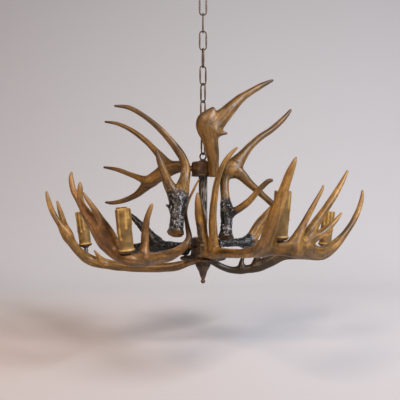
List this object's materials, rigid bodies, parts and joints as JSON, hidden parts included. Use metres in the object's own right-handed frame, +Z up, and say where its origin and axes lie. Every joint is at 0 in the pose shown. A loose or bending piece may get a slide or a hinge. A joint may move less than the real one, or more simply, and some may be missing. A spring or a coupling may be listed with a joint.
{
  "type": "antler chandelier",
  "caption": "Two-tier chandelier of cast antlers round a bronze core, with candle sleeves over bulb holders, hung by a chain from a ceiling canopy.",
  "frame": {"origin": "middle of the ceiling bracket's top face, on the ceiling, above the column's axis", "axes": "+Z up into the ceiling; the lamp is seen from -Y; +X is to the right"},
  "size_m": [0.7932, 0.6803, 0.7837],
  "materials": {
    "antler_resin": "cast polyresin, stained and dry-brushed like antler",
    "candle_resin": "cast resin, antiqued like old beeswax",
    "holder_plastic": "moulded, satin",
    "bark_resin": "cast with a bark texture, dark stained",
    "bronzed_steel": "antique bronze paint, rubbed",
    "zinc_steel": "zinc plated"
  },
  "bodies": {
    "ceiling_fitting": {"ceiling_bracket": "zinc_steel", "ceiling_nipple": "zinc_steel", "bracket_nut": "zinc_steel", "ceiling_canopy": "bronzed_steel", "canopy_loop": "bronzed_steel"},
    "link_1": {"chain_link_1": "bronzed_steel"},
    "link_2": {"chain_link_2": "bronzed_steel"},
    "link_3": {"chain_link_3": "bronzed_steel"},
    "link_4": {"chain_link_4": "bronzed_steel"},
    "link_5": {"chain_link_5": "bronzed_steel"},
    "link_6": {"chain_link_6": "bronzed_steel"},
    "link_7": {"chain_link_7": "bronzed_steel"},
    "link_8": {"chain_link_8": "bronzed_steel"},
    "link_9": {"chain_link_9": "bronzed_steel"},
    "fixture": {"antler_lower_back_left": "antler_resin", "antler_lower_back_right": "antler_resin", "antler_lower_front_left": "antler_resin", "antler_lower_front_right": "antler_resin", "antler_lower_left": "antler_resin", "antler_lower_right": "antler_resin", "antler_upper_back_left": "antler_resin", "antler_upper_crown": "antler_resin", "antler_upper_front_left": "antler_resin", "antler_upper_right": "antler_resin", "bulb_holder_back_left": "holder_plastic", "bulb_holder_back_right": "holder_plastic", "bulb_holder_front_left": "holder_plastic", "bulb_holder_front_right": "holder_plastic", "bulb_holder_left": "holder_plastic", "bulb_holder_right": "holder_plastic", "center_tube": "zinc_steel", "collar_ring": "bronzed_steel", "column_loop": "bronzed_steel", "column_sleeve": "bark_resin", "drip_cup_back_left": "bronzed_steel", "drip_cup_back_right": "bronzed_steel", "drip_cup_front_left": "bronzed_steel", "drip_cup_front_right": "bronzed_steel", "drip_cup_left": "bronzed_steel", "drip_cup_right": "bronzed_steel", "finial": "bronzed_steel", "hub_nut": "zinc_steel", "hub_plate": "bronzed_steel", "light_stems": "zinc_steel", "lower_antler_screws": "zinc_steel", "lower_hub": "bronzed_steel", "upper_antler_screws": "zinc_steel", "upper_collar": "bronzed_steel"},
    "sleeve_front_left": {"candle_sleeve_front_left": "candle_resin"},
    "sleeve_left": {"candle_sleeve_left": "candle_resin"},
    "sleeve_front_right": {"candle_sleeve_front_right": "candle_resin"},
    "sleeve_right": {"candle_sleeve_right": "candle_resin"},
    "sleeve_back_right": {"candle_sleeve_back_right": "candle_resin"},
    "sleeve_back_left": {"candle_sleeve_back_left": "candle_resin"}
  },
  "joints": [
    {"name": "swing_1", "type": "hinge", "parent": "ceiling_fitting", "child": "link_1", "pos_m": [0, 0, -0.0701], "axis": [0, 1, 0], "range_deg": [-7, 7]},
    {"name": "swing_2", "type": "hinge", "parent": "link_1", "child": "link_2", "pos_m": [0, 0, -0.1129], "axis": [1, 0, 0], "range_deg": [-7, 7]},
    {"name": "swing_3", "type": "hinge", "parent": "link_2", "child": "link_3", "pos_m": [0, 0, -0.1565], "axis": [0, 1, 0], "range_deg": [-7, 7]},
    {"name": "swing_4", "type": "hinge", "parent": "link_3", "child": "link_4", "pos_m": [0, 0, -0.2001], "axis": [0.9903, 0.1392, 0], "range_deg": [-7, 7]},
    {"name": "swing_5", "type": "hinge", "parent": "link_4", "child": "link_5", "pos_m": [0, 0, -0.2437], "axis": [-0.1736, 0.9848, 0], "range_deg": [-7, 7]},
    {"name": "swing_6", "type": "hinge", "parent": "link_5", "child": "link_6", "pos_m": [0, 0, -0.2873], "axis": [0.848, 0.5299, 0], "range_deg": [-7, 7]},
    {"name": "swing_7", "type": "hinge", "parent": "link_6", "child": "link_7", "pos_m": [0, 0, -0.3309], "axis": [-0.6157, 0.788, 0], "range_deg": [-7, 7]},
    {"name": "swing_8", "type": "hinge", "parent": "link_7", "child": "link_8", "pos_m": [0, 0, -0.3745], "axis": [0.6428, 0.766, 0], "range_deg": [-7, 7]},
    {"name": "swing_9", "type": "hinge", "parent": "link_8", "child": "link_9", "pos_m": [0, 0, -0.4181], "axis": [-0.788, 0.6157, 0], "range_deg": [-7, 7]},
    {"name": "swing_10", "type": "hinge", "parent": "link_9", "child": "fixture", "pos_m": [0, 0, -0.4617], "axis": [0.4695, 0.8829, 0], "range_deg": [-7, 7]},
    {"name": "lift_sleeve_front_left", "type": "slide", "parent": "fixture", "child": "sleeve_front_left", "axis": [-0.077, -0.1054, 0.9914], "range_m": [0, 0.09]},
    {"name": "lift_sleeve_left", "type": "slide", "parent": "fixture", "child": "sleeve_left", "axis": [-0.1293, 0.0179, 0.9914], "range_m": [0, 0.09]},
    {"name": "lift_sleeve_front_right", "type": "slide", "parent": "fixture", "child": "sleeve_front_right", "axis": [0.0552, -0.1183, 0.9914], "range_m": [0, 0.09]},
    {"name": "lift_sleeve_right", "type": "slide", "parent": "fixture", "child": "sleeve_right", "axis": [0.1301, 0.0105, 0.9914], "range_m": [0, 0.09]},
    {"name": "lift_sleeve_back_right", "type": "slide", "parent": "fixture", "child": "sleeve_back_right", "axis": [0.101, 0.0827, 0.9914], "range_m": [0, 0.09]},
    {"name": "lift_sleeve_back_left", "type": "slide", "parent": "fixture", "child": "sleeve_back_left", "axis": [-0.1048, 0.0778, 0.9914], "range_m": [0, 0.09]}
  ]
}
